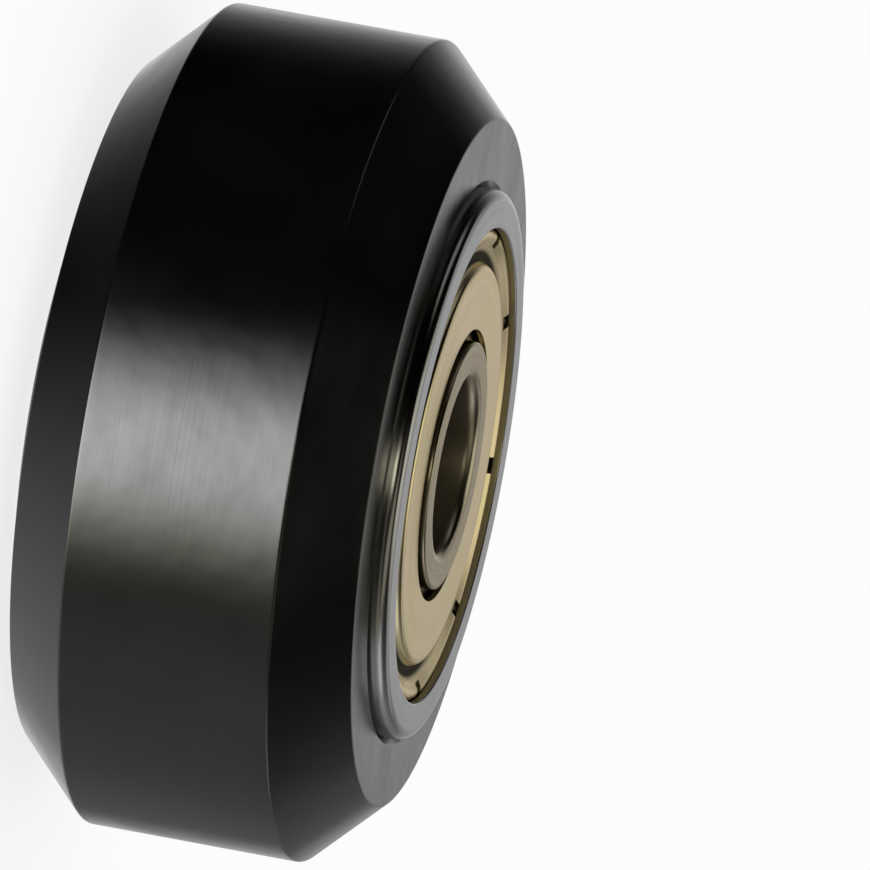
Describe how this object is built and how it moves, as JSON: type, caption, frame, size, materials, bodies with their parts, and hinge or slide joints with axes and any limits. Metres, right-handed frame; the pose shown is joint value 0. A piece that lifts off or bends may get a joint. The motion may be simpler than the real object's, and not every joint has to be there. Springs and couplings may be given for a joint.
{
  "type": "printer roller wheel",
  "caption": "Black plastic roller wheel with bevelled edges, turning on two shielded ball bearings pressed into its faces, for a printer carriage that runs on a slotted rail.",
  "frame": {"origin": "middle of the wheel, on the axle's axis, half way between the two bearings", "axes": "+Z along the axle towards the face that the picture shows; X and Y are the wheel's diameters"},
  "size_m": [0.0239, 0.0238, 0.011],
  "materials": {
    "black_acetal": "satin",
    "ring_steel": "polished",
    "plated_shield": "satin",
    "ball_steel": "polished",
    "cage_steel": "satin",
    "spacer_steel": "satin"
  },
  "bodies": {
    "hub": {"front_inner_ring": "ring_steel", "rear_inner_ring": "ring_steel", "bearing_spacer": "spacer_steel"},
    "wheel": {"wheel_body": "black_acetal", "front_outer_ring": "ring_steel", "front_outboard_shield": "plated_shield", "front_inboard_shield": "plated_shield", "rear_outer_ring": "ring_steel", "rear_outboard_shield": "plated_shield", "rear_inboard_shield": "plated_shield"},
    "front_cage": {"front_cage_upper": "cage_steel", "front_cage_lower": "cage_steel", "front_cage_rivets": "cage_steel"},
    "front_ball_1_body": {"front_ball_1": "ball_steel"},
    "front_ball_2_body": {"front_ball_2": "ball_steel"},
    "front_ball_3_body": {"front_ball_3": "ball_steel"},
    "front_ball_4_body": {"front_ball_4": "ball_steel"},
    "front_ball_5_body": {"front_ball_5": "ball_steel"},
    "front_ball_6_body": {"front_ball_6": "ball_steel"},
    "front_ball_7_body": {"front_ball_7": "ball_steel"},
    "rear_cage": {"rear_cage_upper": "cage_steel", "rear_cage_lower": "cage_steel", "rear_cage_rivets": "cage_steel"},
    "rear_ball_1_body": {"rear_ball_1": "ball_steel"},
    "rear_ball_2_body": {"rear_ball_2": "ball_steel"},
    "rear_ball_3_body": {"rear_ball_3": "ball_steel"},
    "rear_ball_4_body": {"rear_ball_4": "ball_steel"},
    "rear_ball_5_body": {"rear_ball_5": "ball_steel"},
    "rear_ball_6_body": {"rear_ball_6": "ball_steel"},
    "rear_ball_7_body": {"rear_ball_7": "ball_steel"}
  },
  "joints": [
    {"name": "wheel_spin", "type": "hinge", "parent": "hub", "child": "wheel", "pos_m": [0, 0, 0], "axis": [0, 0, 1], "continuous": true},
    {"name": "front_cage_spin", "type": "hinge", "parent": "hub", "child": "front_cage", "pos_m": [0, 0, 0.003], "axis": [0, 0, 1], "continuous": true},
    {"name": "front_ball_1_spin", "type": "hinge", "parent": "front_cage", "child": "front_ball_1_body", "pos_m": [0.00525, 0, 0.003], "axis": [0, 0, 1], "continuous": true},
    {"name": "front_ball_2_spin", "type": "hinge", "parent": "front_cage", "child": "front_ball_2_body", "pos_m": [0.00327, 0.0041, 0.003], "axis": [0, 0, 1], "continuous": true},
    {"name": "front_ball_3_spin", "type": "hinge", "parent": "front_cage", "child": "front_ball_3_body", "pos_m": [-0.00117, 0.00512, 0.003], "axis": [0, 0, 1], "continuous": true},
    {"name": "front_ball_4_spin", "type": "hinge", "parent": "front_cage", "child": "front_ball_4_body", "pos_m": [-0.00473, 0.00228, 0.003], "axis": [0, 0, 1], "continuous": true},
    {"name": "front_ball_5_spin", "type": "hinge", "parent": "front_cage", "child": "front_ball_5_body", "pos_m": [-0.00473, -0.00228, 0.003], "axis": [0, 0, 1], "continuous": true},
    {"name": "front_ball_6_spin", "type": "hinge", "parent": "front_cage", "child": "front_ball_6_body", "pos_m": [-0.00117, -0.00512, 0.003], "axis": [0, 0, 1], "continuous": true},
    {"name": "front_ball_7_spin", "type": "hinge", "parent": "front_cage", "child": "front_ball_7_body", "pos_m": [0.00327, -0.0041, 0.003], "axis": [0, 0, 1], "continuous": true},
    {"name": "rear_cage_spin", "type": "hinge", "parent": "hub", "child": "rear_cage", "pos_m": [0, 0, -0.003], "axis": [0, 0, 1], "continuous": true},
    {"name": "rear_ball_1_spin", "type": "hinge", "parent": "rear_cage", "child": "rear_ball_1_body", "pos_m": [0.00525, 0, -0.003], "axis": [0, 0, 1], "continuous": true},
    {"name": "rear_ball_2_spin", "type": "hinge", "parent": "rear_cage", "child": "rear_ball_2_body", "pos_m": [0.00327, 0.0041, -0.003], "axis": [0, 0, 1], "continuous": true},
    {"name": "rear_ball_3_spin", "type": "hinge", "parent": "rear_cage", "child": "rear_ball_3_body", "pos_m": [-0.00117, 0.00512, -0.003], "axis": [0, 0, 1], "continuous": true},
    {"name": "rear_ball_4_spin", "type": "hinge", "parent": "rear_cage", "child": "rear_ball_4_body", "pos_m": [-0.00473, 0.00228, -0.003], "axis": [0, 0, 1], "continuous": true},
    {"name": "rear_ball_5_spin", "type": "hinge", "parent": "rear_cage", "child": "rear_ball_5_body", "pos_m": [-0.00473, -0.00228, -0.003], "axis": [0, 0, 1], "continuous": true},
    {"name": "rear_ball_6_spin", "type": "hinge", "parent": "rear_cage", "child": "rear_ball_6_body", "pos_m": [-0.00117, -0.00512, -0.003], "axis": [0, 0, 1], "continuous": true},
    {"name": "rear_ball_7_spin", "type": "hinge", "parent": "rear_cage", "child": "rear_ball_7_body", "pos_m": [0.00327, -0.0041, -0.003], "axis": [0, 0, 1], "continuous": true}
  ],
  "couplings": [
    {"joint": "front_cage_spin", "follows": "wheel_spin", "ratio": 0.63229},
    {"joint": "front_ball_1_spin", "follows": "wheel_spin", "ratio": 1.7576},
    {"joint": "front_ball_2_spin", "follows": "wheel_spin", "ratio": 1.7576},
    {"joint": "front_ball_3_spin", "follows": "wheel_spin", "ratio": 1.7576},
    {"joint": "front_ball_4_spin", "follows": "wheel_spin", "ratio": 1.7576},
    {"joint": "front_ball_5_spin", "follows": "wheel_spin", "ratio": 1.7576},
    {"joint": "front_ball_6_spin", "follows": "wheel_spin", "ratio": 1.7576},
    {"joint": "front_ball_7_spin", "follows": "wheel_spin", "ratio": 1.7576},
    {"joint": "rear_cage_spin", "follows": "wheel_spin", "ratio": 0.63229},
    {"joint": "rear_ball_1_spin", "follows": "wheel_spin", "ratio": 1.7576},
    {"joint": "rear_ball_2_spin", "follows": "wheel_spin", "ratio": 1.7576},
    {"joint": "rear_ball_3_spin", "follows": "wheel_spin", "ratio": 1.7576},
    {"joint": "rear_ball_4_spin", "follows": "wheel_spin", "ratio": 1.7576},
    {"joint": "rear_ball_5_spin", "follows": "wheel_spin", "ratio": 1.7576},
    {"joint": "rear_ball_6_spin", "follows": "wheel_spin", "ratio": 1.7576},
    {"joint": "rear_ball_7_spin", "follows": "wheel_spin", "ratio": 1.7576}
  ]
}
